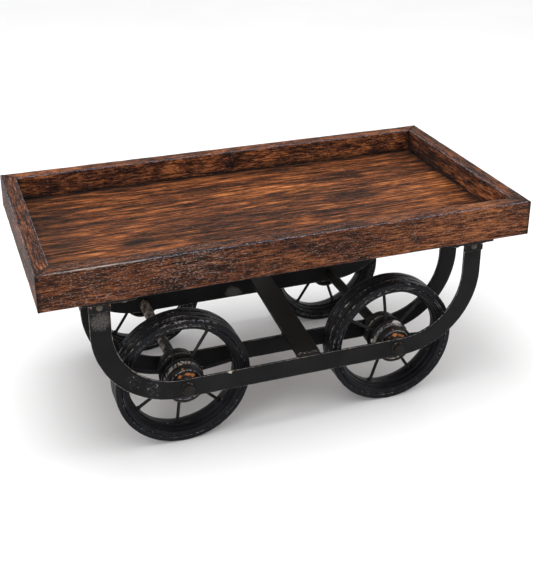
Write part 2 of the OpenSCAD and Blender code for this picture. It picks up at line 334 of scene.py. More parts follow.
def rail(length, seed):
    """A mitred rail along X: its outer face at y 0, its underside at z 0."""
    bm = bmesh.new()
    half = length / 2
    corners = ((-half, 0, 0), (half, 0, 0), (half - rail_width, rail_width, 0), (rail_width - half, rail_width, 0))
    base = bm.faces.new([bm.verts.new(corner) for corner in corners])
    top = bmesh.ops.extrude_face_region(bm, geom=[base])["geom"]
    bmesh.ops.translate(bm, verts=verts_of(top), vec=(0, 0, rail_height))
    bmesh.ops.recalc_face_normals(bm, faces=bm.faces)
    long_edges = [e for e in bm.edges if abs(e.verts[0].co.x - e.verts[1].co.x) > half]
    bmesh.ops.bevel(
        bm, geom=long_edges, affect="EDGES", offset=rail_arris, offset_type="OFFSET",
        segments=2, profile=0.5, material=-1)
    cut_along(bm, 0, half, round(length / rail_step))
    cut_along(bm, 2, rail_height / 2, 11)
    cut_along(bm, 1, rail_width / 2, 4)
    mark_wear(bm)
    worn, shade = bm.verts.layers.float["worn"], bm.verts.layers.float.new("shade")
    bm.normal_update()
    for vert in bm.verts:
        end_gap = half - abs(vert.co.x) - vert.co.y
        grime_and_shade = fade(end_gap, mitre_grime)
        # Painted shade, with some grime, up the inner face from the floor.
        if vert.co.y > rail_width - 0.0005:
            grime_and_shade = max(grime_and_shade, fade(max(0, vert.co.z - floor_rise), floor_joint_grime_and_shade))
        # Painted shade along the bottom outer arris.
        if vert.co.z < rail_arris and vert.co.y < rail_arris:
            grime_and_shade = max(grime_and_shade, 0.9)
        # A darker band on the top face by the outer arris.
        if vert.co.z > rail_height - 0.0002 and vert.co.y < rail_arris + 0.0004:
            grime_and_shade = max(grime_and_shade, 0.5 + 0.4 * noise.noise(Vector((vert.co.x * 25, seed, 0))))
        vert[shade] = grime_and_shade
        # Little of the arris colour and its painted highlight is kept on the lower half.
        if vert.co.z < rail_height / 2:
            vert[worn] *= 0.25
        if end_gap < on_mitre:
            vert[worn] = min(edge.other_vert(vert)[worn] for edge in vert.link_edges)
            continue
        grain_place = Vector((vert.co.x * 22, vert.co.y * 190, vert.co.z * 190)) + Vector((seed, 0, 0))
        dent_place = vert.co * 60 + Vector((0, seed, 0))
        dip = brushed_depth * (1 + noise.noise(grain_place)) + dent_depth * max(0, noise.noise(dent_place) - 0.1)
        vert.co -= vert.normal * dip
    return bm


def weather(bm):
    """Marks a rail's golden end, its dusty patch and the stretch of its top arris that gets a pale painted highlight.
    """
    gold, dusty, pale = [bm.verts.layers.float.new(label) for label in ("gold", "dusty", "pale")]
    for vert in bm.verts:
        x, y, z = vert.co
        vert[gold] = fade(abs(x - 0.19), 0.13) - 0.45 * fade(abs(x + 0.12), 0.14)
        vert[dusty] = fade(math.hypot((x + 0.13) / 0.07, (z - 0.03) / 0.03), 1) + 0.5 * fade(abs(x + 0.24), 0.06)
        # A pale painted highlight along part of the top outer arris.
        if z > rail_height - rail_arris and y < rail_arris:
            vert[pale] = fade(abs(x + 0.235), 0.07) * (0.9 + 0.8 * noise.noise(Vector((x * 60, 0, 0))))


rail_wood_near = stained_wood("rail_wood_near", False, 17.0, 170.0, near_rail_stains, 0.4, arris_wear_and_highlight, 0.0, 0.6)
rail_wood_far = stained_wood("rail_wood_far", False, 26.0, 150.0, rail_stains, 0.25, arris_wear_and_highlight, 0.08, 0.6)
rail_wood_end = stained_wood("rail_wood_end", True, 14.0, 150.0, rail_stains, 0.3, arris_wear_and_highlight, -0.02, 0.6)
rails = (
    ("rail_near", rail_length, 0, (0, rail_lo.y, rail_lo.z), rail_wood_near),
    ("rail_far", rail_length, 180, (0, -rail_lo.y, rail_lo.z), rail_wood_far),
    ("rail_left", tray_width, -90, (rail_left_lo.x, 0, rail_lo.z), rail_wood_end),
    ("rail_right", tray_width, 90, (-rail_left_lo.x, 0, rail_lo.z), rail_wood_end),
)
for seed, (node, length, turn, place, wood) in enumerate(rails):
    bm = rail(length, 7.3 * seed)
    if node == "rail_near":
        weather(bm)
    bmesh.ops.rotate(bm, verts=bm.verts, matrix=Matrix.Rotation(math.radians(turn), 3, "Z"))
    bmesh.ops.translate(bm, verts=bm.verts, vec=place)
    show(bm, node + "_timber", "cart", wood, [node])


# Tray floor: three boards laid side by side between the rails, their grain along the cart.
# The stain was rubbed back, so the streaks are warm in the middle, and the boards darken by the rails: painted shade,
# with some grime.
floor_stains = (
    (0.0145, 0.0068, 0.0045), (0.068, 0.0225, 0.0095), (0.200, 0.060, 0.0185), (0.50, 0.172, 0.050))
floor_wood = stained_wood("floor_wood", False, 8.0, 112.0, floor_stains, 0.2, (0.02, 0.013, 0.011), -0.02, 0.55)
# Each knot: its middle, its reach along the grain, and how dark it is.
knots = (
    ((-0.176, -0.045), 0.030, 0.8), ((-0.150, -0.062), 0.022, 0.6), ((0.045, 0.040), 0.026, 0.7),
    ((0.085, 0.030), 0.030, 0.65), ((0.150, 0.005), 0.036, 0.6), ((-0.015, -0.118), 0.045, 0.75),
    ((0.050, -0.122), 0.040, 0.6), ((-0.262, 0.020), 0.030, 0.55), ((-0.250, 0.075), 0.034, 0.5),
    ((0.215, 0.080), 0.034, 0.4), ((-0.055, 0.085), 0.025, 0.4),
)
tray_inner_x = rail_length / 2 - rail_width
tray_inner_y = tray_width / 2 - rail_width
for seed, node in enumerate(("floor_board_near", "floor_board_middle", "floor_board_far")):
    lo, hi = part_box(node)
    size = hi - lo
    bm = bmesh.new()
    bmesh.ops.create_cube(bm, size=1, matrix=Matrix.Translation((lo + hi) / 2) @ Matrix.Diagonal((*size, 1)))
    round_edges(bm, 0.0006)
    mark_wear(bm)
    cut_along(bm, 0, size.x / 2, 140)
    cut_along(bm, 1, size.y / 2, 30)
    bm.normal_update()
    shade = bm.verts.layers.float.new("shade")
    for vert in bm.verts:
        x, y, z = vert.co
        ripple = noise.noise(Vector((x * 14, y * 160, 3 + seed))) + 0.5 * noise.noise(Vector((x * 40, y * 420, seed)))
        vert.co -= vert.normal * 0.00016 * (1.5 + ripple)
        # Painted shade, with some grime, along the rails.
        gap = min(tray_inner_x - abs(x), tray_inner_y - abs(y))
        reach = 0.020 + 0.012 * noise.noise(Vector((x * 9, y * 20, 8.5)))
        grime_and_shade = fade(gap, reach) ** 1.3
        # Darker towards the left end too.
        left_end = 0.45 + 0.9 * noise.noise(Vector((x * 22, y * 45, 4.1)))
        grime_and_shade = max(grime_and_shade, fade(x + tray_inner_x, 0.09) * left_end)
        for (knot_x, knot_y), wide, depth in knots:
            away = math.hypot((x - knot_x) / wide, 2.6 * (y - knot_y) / wide) * 0.8
            away += 0.5 * noise.noise(Vector((x * 40, y * 160, 1.7)))
            grime_and_shade = max(grime_and_shade, min(1, 1.2 * depth) * min(1, max(0, 1.4 - 1.4 * away)))
        vert[shade] = grime_and_shade
    show(bm, node + "_plank", "cart", floor_wood, [node])


# Straps: four mild-steel flat bars, each bent on edge into a wide U and painted black.
# The paint has rubbed off along the arrises and is scraped at the near left bend; the light lines along the arrises
# are partly painted highlight.
strap_lo, strap_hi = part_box("strap_near_outer")
strap_half = strap_hi.x
strap_low, strap_top = strap_lo.z, strap_hi.z
strap_thickness = strap_hi.y - strap_lo.y
strap_width = 0.025
strap_bend = 0.105

# The bluish grey chip colour is partly bare iron and partly a painted glint on worn edges and ridges.
bare_cream, bare_rust, bare_slate_and_glint = (0.46, 0.40, 0.33), (0.32, 0.13, 0.055), (0.16, 0.17, 0.20)
# The light silver colour stands for painted glints on the hubs.
grey_fleck, copper_red, silver_glint = (0.2, 0.185, 0.165), (0.43, 0.15, 0.052), (0.62, 0.59, 0.56)
black, faded_black = (0.0062, 0.0063, 0.0072), (0.0125, 0.0122, 0.0125)


def even_noise(tree, vector, scale, detail, roughness, low=None, high=None):
    """Noise the same size all ways, its values from low to high spread over 0 to 1 where they are given."""
    feeds = {"Vector": vector, "Scale": scale, "Detail": detail, "Roughness": roughness}
    factor = put(tree, "TexNoise", feeds).outputs["Fac"]
    return factor if low is None else put(tree, "MapRange", {"Value": factor, 1: low, 2: high}).outputs[0]


painted_wear, inside, outside = new_group(
    "painted_wear",
    (("Vector", "Vector", None), ("Worn", "Float", 0.0), ("Scuff", "Float", 0.0), ("Amount", "Float", 1.0),
     ("Scale", "Float", 260.0)),
    ("Chip", "Speck", "Cloud", "Tint", "Height"),
)
flake = even_noise(painted_wear, inside["Vector"], inside["Scale"], 5.0, 0.68)
cloud = even_noise(painted_wear, inside["Vector"], 24.0, 4.0, 0.6, 0.32, 0.68)
dust = even_noise(painted_wear, inside["Vector"], 620.0, 2.0, 0.5)
tint = even_noise(painted_wear, inside["Vector"], 75.0, 3.0, 0.5, 0.4, 0.6)
worn = maths(painted_wear, "MULTIPLY", inside["Worn"], inside["Amount"])
chip = weigh(painted_wear, (worn, 1), (maths(painted_wear, "SUBTRACT", flake, 0.5), 2.6))
chip = put(painted_wear, "MapRange", {"Value": chip, 1: 0.62, 2: 0.86}, interpolation_type="SMOOTHSTEP").outputs[0]
speck = put(painted_wear, "MapRange", {"Value": dust, 1: 0.69, 2: 0.78}).outputs[0]
speck = maths(painted_wear, "MULTIPLY", speck, cloud)
scuff = weigh(painted_wear, (inside["Scuff"], 0.34), (dust, 0.6), (flake, 0.4))
scuff = put(painted_wear, "MapRange", {"Value": scuff, 1: 0.66, 2: 0.84}).outputs[0]
scuffed = maths(painted_wear, "GREATER_THAN", inside["Scuff"], 0.01)
speck = maths(painted_wear, "MAXIMUM", speck, maths(painted_wear, "MULTIPLY", scuff, scuffed))
height = weigh(painted_wear, (flake, 0.55), (chip, -0.5))
for label, socket in (("Chip", chip), ("Speck", speck), ("Cloud", cloud), ("Tint", tint), ("Height", height)):
    painted_wear.links.new(socket, outside[label])


def painted_iron(
        name, amount, specks, paint, faded, chip_and_glint_colours, rough, bump,
        scale=260.0, metal=0.0, shine=0.07, laid=False):
    """Black paint over iron: it fades in clouds, flakes off where the piece is worn, and is flecked all over. Bluish
    grey chips also stand for painted glints.
    """
    made, tree, shader = new_material(name)
    place = painted(tree, "laid", "Vector") if laid else put(tree, "TexCoord", {}).outputs["Object"]
    wear = put_group(tree, painted_wear, {
        "Vector": place, "Worn": painted(tree, "worn"), "Scuff": painted(tree, "scuff"),
        "Amount": amount, "Scale": scale})
    colour = blend(tree, wear["Cloud"], paint, faded)
    chips_and_glints = blend(tree, wear["Tint"], *chip_and_glint_colours)
    colour = blend(tree, maths(tree, "MULTIPLY", wear["Speck"], specks), colour, grey_fleck)
    colour = blend(tree, wear["Chip"], colour, chips_and_glints)
    for label, tone in (("copper", copper_red), ("silver", silver_glint)):
        patch = weigh(tree, (painted(tree, label), 1.6), (wear["Height"], 1.4))
        feeds = {"Value": patch, 1: 0.95, 2: 1.3}
        patch = put(tree, "MapRange", feeds, interpolation_type="SMOOTHSTEP").outputs[0]
        colour = blend(tree, patch, colour, tone)
    tree.links.new(colour, shader.inputs["Base Color"])
    gloss = weigh(tree, (wear["Cloud"], 0.16), (wear["Chip"], 0.2), plus=rough)
    tree.links.new(gloss, shader.inputs["Roughness"])
    shader.inputs["Metallic"].default_value = metal
    shader.inputs["Specular IOR Level"].default_value = shine
    relief = put(tree, "Bump", {"Strength": bump, "Distance": 0.0007, "Height": wear["Height"]})
    tree.links.new(relief.outputs[0], shader.inputs["Normal"])
    return made


strap_paint = painted_iron("strap_paint", 1.05, 0.35, black, faded_black, (bare_cream, bare_slate_and_glint), 0.44, 0.25)


def strap_bar(front_y):
    """A flat bar swept down one leg, round both bends and up the other, then given its thickness."""
    bm = bmesh.new()
    outer = bm.verts.new((-strap_half, front_y, strap_top))
    inner = bm.verts.new((-strap_half + strap_width, front_y, strap_top))
    geom = [outer, inner, bm.edges.new((outer, inner))]
    bend_z = strap_low + strap_bend

    def run(geom, vec, steps):
        for _ in range(steps):
            edges = [item for item in geom if isinstance(item, bmesh.types.BMEdge)]
            geom = bmesh.ops.extrude_edge_only(bm, edges=edges)["geom"]
            bmesh.ops.translate(bm, verts=verts_of(geom), vec=Vector(vec) / steps)
        return geom

    def bend(geom, side):
        made = bmesh.ops.spin(
            bm, geom=[item for item in geom if not isinstance(item, bmesh.types.BMFace)],
            cent=(side * (strap_half - strap_bend), 0, bend_z), axis=(0, 1, 0), dvec=(0, 0, 0),
            angle=-math.pi / 2, steps=40, use_duplicate=False)
        return made["geom_last"]

    geom = run(geom, (0, 0, bend_z - strap_top), 10)
    geom = bend(geom, -1)
    geom = run(geom, (2 * (strap_half - strap_bend), 0, 0), 70)
    geom = bend(geom, 1)
    run(geom, (0, 0, strap_top - bend_z), 10)
    bmesh.ops.remove_doubles(bm, verts=bm.verts, dist=1e-6)
    sheet = bmesh.ops.extrude_face_region(bm, geom=list(bm.faces))["geom"]
    bmesh.ops.translate(bm, verts=verts_of(sheet), vec=(0, strap_thickness, 0))
    bmesh.ops.recalc_face_normals(bm, faces=bm.faces)
    round_edges(bm, 0.0008)
    mark_wear(bm)
    return bm


def roughen(bm, depth, fineness):
    """Sinks the skin a little and unevenly, up to twice the depth."""
    bm.normal_update()
    for vert in bm.verts:
        vert.co -= vert.normal * depth * (1 + noise.noise(vert.co * fineness))


def scrape(bm, label, patches):
    """Adds to a wear layer inside soft round patches of place, radius and depth."""
    layer = bm.verts.layers.float.get(label) or bm.verts.layers.float.new(label)
    for vert in bm.verts:
        for place, radius, depth in patches:
            near = 1 - (vert.co - Vector(place)).length / radius
            if near > 0:
                vert[layer] = min(1.2, vert[layer] + depth * min(1, 2 * near))


for name in ("near_outer", "near_inner", "far_inner", "far_outer"):
    lo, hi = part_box("strap_" + name)
    bm = strap_bar(lo.y)
    cut_along(bm, 2, 0.012, 5)
    cut_along(bm, 0, 0.012, 5)
    if name == "near_outer":
        scrape(bm, "worn", (
            ((-0.200, lo.y, 0.106), 0.018, 0.30), ((-0.178, lo.y, 0.093), 0.016, 0.34),
            ((-0.0855, lo.y, 0.0955), 0.004, 1.2)))
        scrape(bm, "scuff", (
            ((-0.236, lo.y, 0.193), 0.017, 0.9), ((-0.203, lo.y, 0.108), 0.016, 0.42),
            ((-0.181, lo.y, 0.092), 0.016, 0.45), ((-0.160, lo.y, 0.080), 0.012, 0.3)))
    if name == "far_inner":
        scrape(bm, "scuff", (((-0.012, lo.y, 0.080), 0.012, 1.1), ((-0.002, lo.y, 0.077), 0.009, 1.0)))
    roughen(bm, 0.00012, 45)
    show(bm, "strap_" + name + "_bar", "cart", strap_paint, ["strap_" + name])


# Plates, cleats and fixings: a flat plate under each corner of the tray is screwed up into the
# timber, and a small angle on each strap top is riveted to the strap and tacked with weld.
fixing_paint = painted_iron(
    "fixing_paint", 0.9, 0.4, black, (0.018, 0.017, 0.016), (bare_cream, bare_rust), 0.5, 0.4)
bare_steel = painted_iron(
    "bare_steel", 0.8, 0.4, (0.04, 0.035, 0.031), (0.17, 0.145, 0.12), (bare_cream, bare_rust), 0.45, 0.35,
    scale=420.0, metal=0.2)
weld_metal = painted_iron(
    "weld_metal", 0.5, 0.6, (0.009, 0.009, 0.0095), (0.028, 0.027, 0.027), (bare_slate_and_glint, bare_cream), 0.4, 0.5,
    scale=420.0, metal=0.1)


def from_cad(node, arris):
    """A copy of a CAD node's shape, its triangles joined, with softened arrises."""
    bm = bmesh.new()
    bm.from_mesh(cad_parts[node].data)
    bmesh.ops.remove_doubles(bm, verts=bm.verts, dist=1e-6)
    bmesh.ops.dissolve_limit(bm, angle_limit=math.radians(1), verts=bm.verts, edges=bm.edges)
    round_edges(bm, arris)
    mark_wear(bm)
    return bm


def recolour(node, material):
    """Keeps a CAD node as it is, in a finish of its own."""
    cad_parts[node].data.materials.clear()
    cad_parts[node].data.materials.append(material)


for side in ("near", "far"):
    for end in ("left", "right"):
        for kind, arris in (("plate_", 0.0005), ("cleats_", 0.0004)):
            node = kind + side + "_" + end
            show(from_cad(node, arris), node + "_steel", "cart", fixing_paint, [node])
for node in ("cleat_rivets", "plate_screws"):
    recolour(node, bare_steel)


def bead(bm, points, radius, seed, closed=False):
    """Lays a weld bead along points: a thin tube whose radius ripples like run metal."""
    rng = random.Random(seed)
    curve = bpy.data.curves.new("bead", "CURVE")
    curve.dimensions = "3D"
    curve.bevel_depth = 1
    curve.bevel_resolution = 3
    curve.use_fill_caps = not closed
    line = curve.splines.new("POLY")
    line.points.add(len(points) - 1)
    line.use_cyclic_u = closed
    for count, (point, place) in enumerate(zip(line.points, points)):
        wobble = Vector([rng.uniform(-0.25, 0.25) * radius for _ in range(3)])
        point.co = (*(Vector(place) + wobble), 1)
        point.radius = radius * (0.72 + 0.28 * abs(math.sin(count * 1.1)) + rng.uniform(0, 0.3))
    rod = bpy.data.objects.new("bead", curve)
    mesh = bpy.data.meshes.new_from_object(rod)
    bm.from_mesh(mesh)
    bpy.data.objects.remove(rod)
    bpy.data.curves.remove(curve)
    bpy.data.meshes.remove(mesh)


bead_step = 0.0009


def line_points(first, last):
    first, last = Vector(first), Vector(last)
    count = max(2, round((last - first).length / bead_step))
    return [first.lerp(last, index / count) for index in range(count + 1)]


def close_beads(bm):
    bmesh.ops.remove_doubles(bm, verts=bm.verts, dist=1e-6)
    bmesh.ops.recalc_face_normals(bm, faces=bm.faces)
    mark_wear(bm, 8, 40)


cleat_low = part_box("cleats_near_left")[0].z
outer_face = -strap_lo.y
inner_face = -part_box("strap_near_inner")[1].y
bm = bmesh.new()
for side in (-1, 1):
    for end in (-1, 1):
        first, last = end * (strap_half - strap_width + 0.0015), end * (strap_half - 0.0015)
        for face, outward in ((outer_face, 1), (inner_face, -1)):
            y = side * (face + outward * 0.0006)
            run = line_points((first, y, cleat_low), (last, y, cleat_low))
            bead(bm, run, 0.0013, 11 + 5 * side + 3 * end + outward)
close_beads(bm)
show(bm, "cleat_welds", "cart", weld_metal)


# Cross bar: one flat bar laid a little askew over the lower runs of the four straps.
# It is welded down where it crosses each of them, and its ends are left as they were cut.
bar_lo, bar_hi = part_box("cross_bar")
bar_width = 0.030
bar_paint = painted_iron(
    "bar_paint", 0.55, 0.4, (0.0072, 0.0064, 0.0058), (0.0165, 0.0145, 0.0125), (bare_cream, bare_rust), 0.5, 0.3,
    scale=150.0)
bm = bmesh.new()
near_x, far_x = bar_lo.x + bar_width / 2, bar_hi.x - bar_width / 2
corners = (
    (near_x - bar_width / 2, bar_lo.y), (near_x + bar_width / 2, bar_lo.y),
    (far_x + bar_width / 2, bar_hi.y), (far_x - bar_width / 2, bar_hi.y))
base = bm.faces.new([bm.verts.new((x, y, bar_lo.z)) for x, y in corners])
top = bmesh.ops.extrude_face_region(bm, geom=[base])["geom"]
bmesh.ops.translate(bm, verts=verts_of(top), vec=(0, 0, bar_hi.z - bar_lo.z))
bmesh.ops.recalc_face_normals(bm, faces=bm.faces)
round_edges(bm, 0.0009)
mark_wear(bm)
cut_along(bm, 1, 0.1, 60)
cut_along(bm, 0, 0.015, 8)
roughen(bm, 0.00015, 60)
show(bm, "cross_bar_flat", "cart", bar_paint, ["cross_bar"])

bm = bmesh.new()
weld_z = bar_lo.z + 0.0004
for count, name in enumerate(("near_outer", "near_inner", "far_inner", "far_outer")):
    lo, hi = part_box("strap_" + name)
    middle = near_x + (far_x - near_x) * ((lo.y + hi.y) / 2 - bar_lo.y) / (bar_hi.y - bar_lo.y)
    for end in (-1, 1):
        edge_x = middle + end * bar_width / 2
        run = line_points((edge_x, lo.y + 0.0003, weld_z), (edge_x, hi.y - 0.0003, weld_z))
        bead(bm, run, 0.0016, 40 + count * 2 + end)
for x, y, inward, seed in ((near_x, bar_lo.y, 0.0009, 61), (far_x, bar_hi.y, -0.0009, 62)):
    first = Vector((x - bar_width / 2 + 0.001, y + inward, bar_hi.z - 0.0007))
    bead(bm, line_points(first, first + Vector((bar_width - 0.002, 0, 0))), 0.0012, seed)
close_beads(bm)
show(bm, "cross_bar_welds", "cart", weld_metal)


# Axles and washers: two plain steel rods pass through all four straps and the hubs between
# them. Each end stands a little proud of its strap, with a ring of weld run round its root.
axle_lo, axle_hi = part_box("axle_left")
axle_radius = (axle_hi.z - axle_lo.z) / 2
axle_z = (axle_hi.z + axle_lo.z) / 2
axle_x = abs(axle_hi.x + axle_lo.x) / 2
axle_chips = ((0.27, 0.235, 0.20), (0.085, 0.07, 0.058))
axle_paint = painted_iron(
    "axle_paint", 0.9, 0.6, (0.0075, 0.0073, 0.0075), (0.020, 0.018, 0.016), axle_chips, 0.46, 0.35, scale=170.0)


def axle_rod(x):
    bm = bmesh.new()
    length = axle_hi.y - axle_lo.y
    place = Matrix.Translation((x, 0, axle_z)) @ Matrix.Rotation(math.pi / 2, 4, "X")
    bmesh.ops.create_cone(
        bm, cap_ends=True, segments=40, radius1=axle_radius, radius2=axle_radius, depth=length, matrix=place)
    round_edges(bm, 0.0007)
    mark_wear(bm)
    cut_along(bm, 1, length / 2, 120)
    roughen(bm, 0.00006, 90)
    worn = bm.verts.layers.float["worn"]
    for vert in bm.verts:
        if abs(vert.co.y) < inner_face and vert.co.z > axle_z and x < 0:
            rubbed = noise.noise(Vector((vert.co.x * 60, vert.co.y * 24, vert.co.z * 60)))
            vert[worn] = max(vert[worn], 0.82 + 0.4 * rubbed)
        elif abs(vert.co.y) > inner_face:
            vert[worn] *= 0.45
    return bm


for end, node in ((-1, "axle_left"), (1, "axle_right")):
    show(axle_rod(end * axle_x), node + "_rod", "cart", axle_paint, [node])
recolour("axle_washers", bare_steel)


def ring_points(x, y, z, radius, first, last, step=bead_step):
    count = round(math.radians(last - first) * radius / step)
    turns = [math.radians(first + (last - first) * index / count) for index in range(count)]
    return [(x + radius * math.cos(turn), y, z + radius * math.sin(turn)) for turn in turns]


stub_weld = painted_iron(
    "stub_weld", 0.6, 0.5, (0.009, 0.0085, 0.0085), (0.03, 0.02, 0.016), (bare_rust, bare_slate_and_glint), 0.4, 0.5,
    scale=420.0, metal=0.1)
bm = bmesh.new()
for end in (-1, 1):
    for side in (-1, 1):
        y = side * (outer_face + 0.0004)
        bead(bm, ring_points(end * axle_x, y, axle_z, axle_radius + 0.0003, 40, 230), 0.0009, 70 + 2 * end + side)
        bead(bm, ring_points(end * axle_x, y, axle_z, axle_radius + 0.0002, 250, 330), 0.0007, 80 + 2 * end + side)
close_beads(bm)
show(bm, "axle_end_welds", "cart", stub_weld)


# Wheel rims: cast iron, with two grooves turned in the tread and a stepped inner face down
# to the rib that takes the spokes. The paint is thick, and has flaked along the tread, where pale bluish streaks also
# stand for painted glints.
rim_lo, rim_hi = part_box("rim_near_left")
wheel_radius = (rim_hi.z - rim_lo.z) / 2
rim_half = (rim_hi.y - rim_lo.y) / 2
wheel_z = (rim_hi.z + rim_lo.z) / 2
wheel_y = abs(rim_hi.y + rim_lo.y) / 2
rim_depth = 0.0185
groove_width, groove_depth = 0.0026, 0.0013
groove_at = rim_half / 3
rim_rib = wheel_radius - rim_depth
rim_outline = (
    (rim_rib, 0.0045), (rim_rib + 0.002, 0.0065), (rim_rib + 0.0025, rim_half - 0.007),
    (wheel_radius - 0.014, rim_half - 0.004), (wheel_radius - 0.0135, rim_half - 0.002),
    (wheel_radius - 0.012, rim_half - 0.0008), (wheel_radius - 0.0088, rim_half - 0.0008),
    (wheel_radius - 0.008, rim_half - 0.002), (wheel_radius - 0.007, rim_half),
    (wheel_radius - 0.002, rim_half), (wheel_radius - 0.0005, rim_half - 0.0007),
    (wheel_radius, rim_half - 0.0022), (wheel_radius, groove_at + groove_width / 2),
    (wheel_radius - groove_depth, groove_at + groove_width / 4),
    (wheel_radius - groove_depth, groove_at - groove_width / 4), (wheel_radius, groove_at - groove_width / 2),
)


def turned_ring(half_outline, rounding, steps, step_length=0.002, mirrored=True):
    """Spins an outline of radius and distance from the middle into a closed ring about the Y axis."""
    outline = list(half_outline)
    if mirrored:
        outline += [(radius, -along) for radius, along in reversed(half_outline)]
    bm = bmesh.new()
    bm.faces.new([bm.verts.new((radius, along, 0)) for radius, along in outline])
    bmesh.ops.bevel(
        bm, geom=list(bm.verts), affect="VERTICES", offset=rounding, offset_type="OFFSET",
        segments=2, profile=0.5, material=-1, clamp_overlap=True)
    bmesh.ops.delete(bm, geom=list(bm.faces), context="FACES_ONLY")
    for edge in list(bm.edges):
        cuts = int(edge.calc_length() / step_length)
        if cuts:
            bmesh.ops.subdivide_edges(bm, edges=[edge], cuts=cuts)
    bmesh.ops.spin(
        bm, geom=list(bm.verts) + list(bm.edges), cent=(0, 0, 0), axis=(0, 1, 0), dvec=(0, 0, 0),
        angle=2 * math.pi, steps=steps, use_merge=True, use_duplicate=False)
    bmesh.ops.remove_doubles(bm, verts=bm.verts, dist=1e-7)
    bmesh.ops.recalc_face_normals(bm, faces=bm.faces)
    return bm


wheels = (("near_left", -1, -1), ("near_right", -1, 1), ("far_left", 1, -1), ("far_right", 1, 1))
rim_chips_and_glints = ((0.15, 0.156, 0.18), (0.38, 0.35, 0.31))
rim_paint = painted_iron(
    "rim_paint", 0.95, 0.55, (0.0045, 0.0045, 0.0054), (0.0105, 0.0108, 0.0130), rim_chips_and_glints, 0.30, 0.9,
    scale=400.0, shine=0.08, laid=True)


def wheel_middle(side, end):
    return Vector((end * axle_x, side * wheel_y, wheel_z))


# Where the outer half of a rim has lost most paint: the middle and the reach in degrees, and how badly.
flakes = {
    "near_left": ((128, 32, 0.5), (85, 30, 0.25), (215, 25, 0.3)),
    "near_right": ((168, 30, 0.75), (120, 40, 0.35), (75, 22, 0.3)),
}
for seed, (wheel, side, end) in enumerate(wheels):
    bm = turned_ring(rim_outline, 0.0004, 192)
    mark_wear(bm, 6, 26)
    worn = bm.verts.layers.float["worn"]
    laid = bm.verts.layers.float_vector.new("laid")
    bm.normal_update()
    for vert in bm.verts:
        radius = math.hypot(vert.co.x, vert.co.z)
        turn = math.atan2(vert.co.z, vert.co.x)
        flat_place = Vector((turn * 9, vert.co.y * 130, radius * 130 + seed * 5))
        rough = noise.noise(flat_place) + 0.5 * noise.noise(flat_place * 2.7)
        on_tread = radius > wheel_radius - 0.003
        vert.co -= vert.normal * (0.00022 if on_tread else 0.0001) * (1.5 + rough)
        vert[laid] = (math.atan2(vert.co.x, vert.co.z) * wheel_radius * 0.6 + seed, vert.co.y, radius)
        rubbed = noise.noise(Vector((turn * 2.2, vert.co.y * 30, seed * 9.1)))
        if side * vert.co.y > 0:
            for middle, reach, depth in flakes.get(wheel, ()):
                swing = abs((math.degrees(turn) - middle + 180) % 360 - 180)
                rubbed += depth * fade(swing, reach)
        # The streaky pale wear on the tread and ridges is partly flaked paint, partly painted glints.
        if on_tread:
            vert[worn] = min(1.1, vert[worn] * 0.62 + 0.44 * max(0, rubbed + 0.30))
        else:
            vert[worn] = min(1, vert[worn] * (0.78 + 0.4 * rubbed) + 0.2 * max(0, rubbed - 0.2))
    bmesh.ops.translate(bm, verts=bm.verts, vec=wheel_middle(side, end))
    show(bm, "rim_" + wheel + "_casting", "wheel_" + wheel, rim_paint, ["rim_" + wheel], smooth=50)


# Spokes: seven thin rods a wheel, cut by hand and held by a blob of weld at each end,
# between the hub's two flanges and on the rib inside the rim.
spoke_count = 7
spoke_radius = 0.002
spoke_inner, spoke_outer = 0.0202, rim_rib - 0.0002
first_spoke = {"near_left": 7, "near_right": 45, "far_left": 20, "far_right": 72}
spoke_chips_and_glints = (bare_slate_and_glint, (0.3, 0.27, 0.24))
spoke_paint = painted_iron(
    "spoke_paint", 0.75, 0.5, (0.007, 0.007, 0.0075), (0.024, 0.024, 0.025), spoke_chips_and_glints, 0.4, 0.4, scale=330.0)
# The rods' bow comes from noise_vector, which differs from run to run unless it is given a seed.
bow_seed = 1795133692
noise.seed_set(bow_seed)
for wheel, side, end in wheels:
    rng = random.Random(wheel)
    rods, blobs = bmesh.new(), bmesh.new()
    length = spoke_outer - spoke_inner
    for index in range(spoke_count):
        turn = math.radians(first_spoke[wheel] + index * 360 / spoke_count)
        swing = Matrix.Rotation(side * turn, 4, "Y")
        out = Matrix.Translation(((spoke_inner + spoke_outer) / 2, 0, 0))
        bmesh.ops.create_cone(
            rods, cap_ends=True, segments=14, radius1=spoke_radius, radius2=spoke_radius, depth=length,
            matrix=swing @ out @ Matrix.Rotation(math.pi / 2, 4, "Y"))
        for reach, blob in ((spoke_outer - 0.0006, 0.0032), (spoke_inner + 0.0022, 0.0036)):
            for _ in range(2):
                nudge = Vector([rng.uniform(-0.0008, 0.0008) for _ in range(3)])
                place = swing @ Matrix.Translation(Vector((reach, 0, 0)) + nudge) @ Matrix.Diagonal((0.8, 1, 1, 1))
                bmesh.ops.create_icosphere(blobs, subdivisions=3, radius=blob * rng.uniform(0.75, 1), matrix=place)
    spine = [e for e in rods.edges if e.calc_length() > 0.03]
    bmesh.ops.subdivide_edges(rods, edges=spine, cuts=14)
    mark_wear(rods, 20, 60)
    worn = rods.verts.layers.float["worn"]
    for vert in rods.verts:
        bow = noise.noise_vector(vert.co * 35 + Vector((end, side, 0)))
        vert.co += 0.00035 * bow
        vert.co += vert.normal * 0.00012 * noise.noise(vert.co * 300)
        vert[worn] = 0.36 + 0.4 * noise.noise(vert.co * 55 + Vector((side, 0, end)))
    mark_wear(blobs, 5, 40)
    worn = blobs.verts.layers.float["worn"]
    blobs.normal_update()
    for vert in blobs.verts:
        vert.co += vert.normal * 0.0005 * noise.noise(vert.co * 420)
        vert[worn] = 0.3 + 0.4 * noise.noise(vert.co * 90)
    for bm, kind, nodes in ((rods, "_rods", ["spokes_" + wheel]), (blobs, "_welds", [])):
        bmesh.ops.translate(bm, verts=bm.verts, vec=wheel_middle(side, end))
        show(bm, "spokes_" + wheel + kind, "wheel_" + wheel, spoke_paint, nodes)
